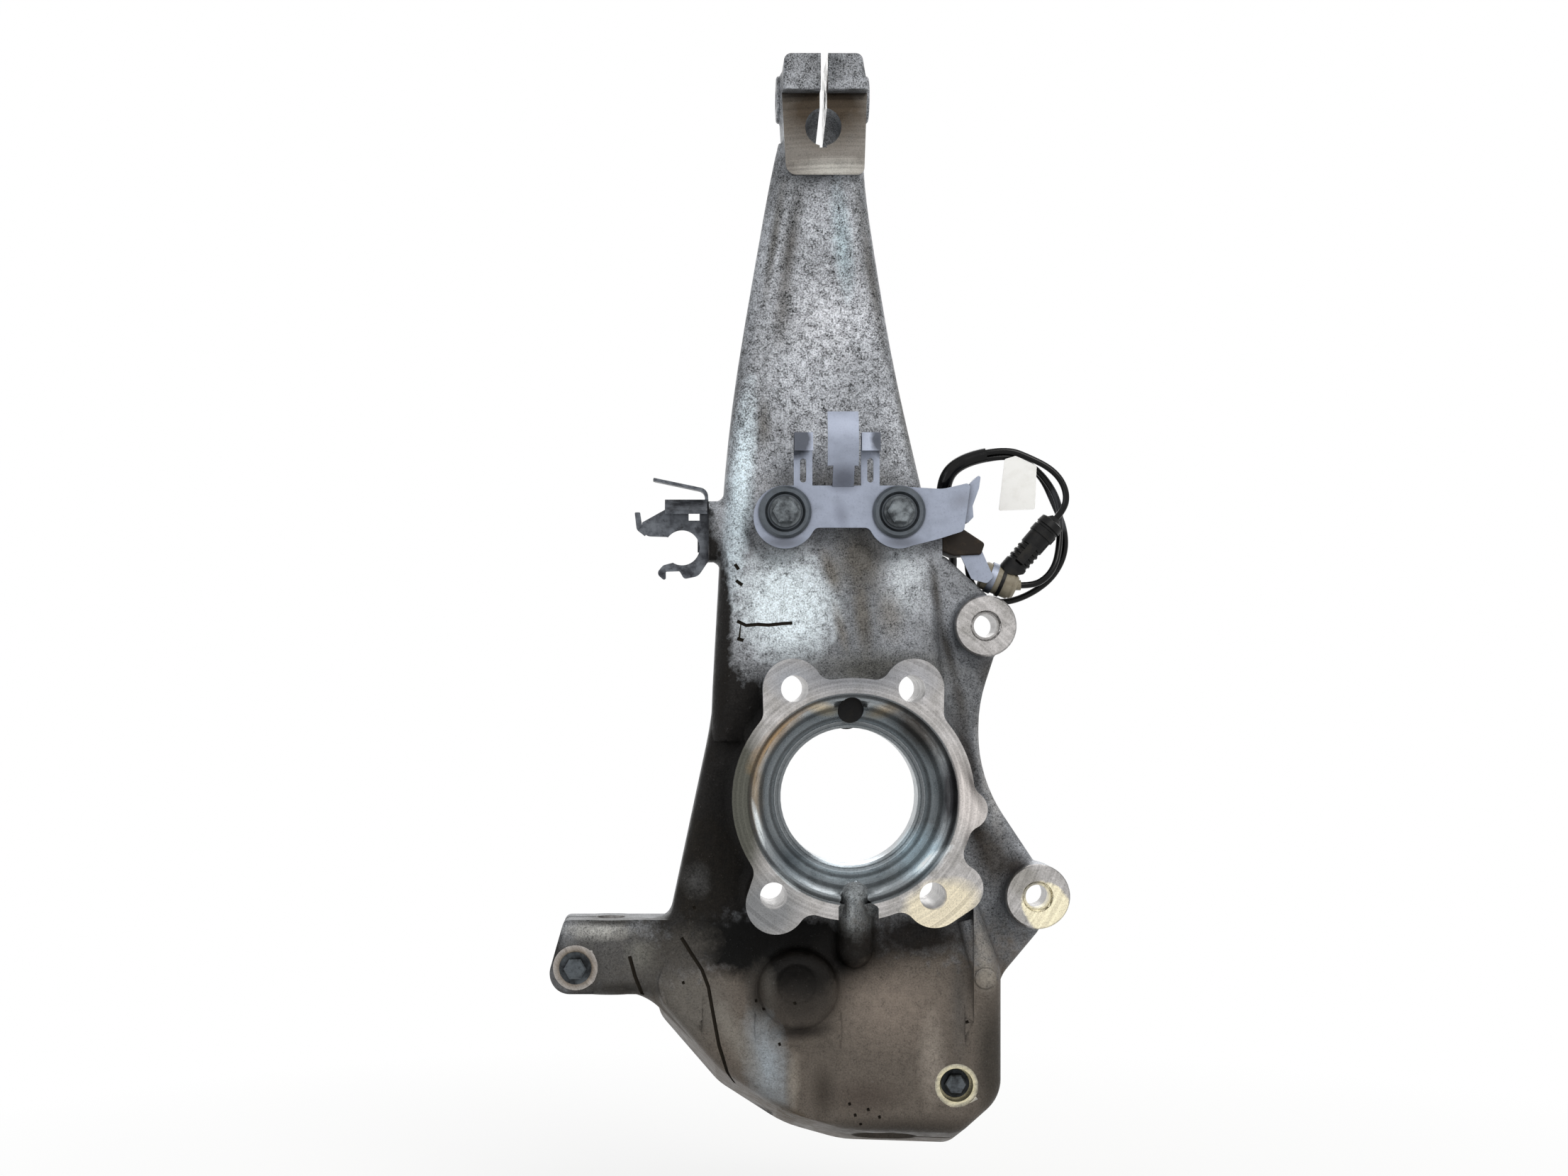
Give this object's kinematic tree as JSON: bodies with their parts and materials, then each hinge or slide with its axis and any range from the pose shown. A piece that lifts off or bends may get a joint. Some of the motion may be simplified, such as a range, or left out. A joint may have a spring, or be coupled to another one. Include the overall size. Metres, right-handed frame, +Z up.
{
  "type": "steering knuckle",
  "caption": "Tall cast-aluminium front steering knuckle with a split upper clamp, hub register, caliper ears, steering arm, lower joint boss, sheet clips and a wired wheel-speed sensor.",
  "frame": {"origin": "centre of the hub unit's register, in the plane of the machined hub face", "axes": "+X towards the rear of the vehicle, +Y inboard along the wheel axis, +Z up; the knuckle is the left one and keeps its place in the vehicle"},
  "size_m": [0.285, 0.1016, 0.6024],
  "materials": {
    "cast_aluminium": "sand-like cast skin with grime, joints machined bright",
    "bracket_steel": "zinc-plated sheet, dulled",
    "clip_steel": "galvanised sheet, mottled and dirty",
    "fastener_steel": "coated and mottled dark grey",
    "sensor_plastic": "glass-filled black plastic",
    "block_rubber": "dark moulded block with dirt",
    "socket_plastic": "beige-grey plastic, stained",
    "collar_rubber": "black seal",
    "plug_plastic": "matte black",
    "lead_rubber": "glossy black jacket",
    "tag_film": "blank white film"
  },
  "bodies": {
    "root": {"knuckle_casting": "cast_aluminium", "upper_bracket": "bracket_steel", "bracket_washer_left": "fastener_steel", "bracket_washer_right": "fastener_steel", "bracket_bolt_left": "fastener_steel", "bracket_bolt_right": "fastener_steel", "side_clip": "clip_steel", "side_clip_bolt": "fastener_steel", "steering_arm_pinch_bolt": "fastener_steel", "lower_joint_pinch_bolt": "fastener_steel", "sensor_body": "sensor_plastic", "sensor_bolt": "fastener_steel", "holder_block": "block_rubber", "connector_holder": "bracket_steel", "connector_socket": "socket_plastic", "socket_collar": "collar_rubber", "connector_plug": "plug_plastic", "connector_boot": "plug_plastic", "sensor_lead": "lead_rubber", "cable_sheath": "lead_rubber", "cable_inner": "lead_rubber", "cable_outer": "lead_rubber", "cable_socket": "lead_rubber", "cable_tag": "tag_film"}
  },
  "joints": []
}
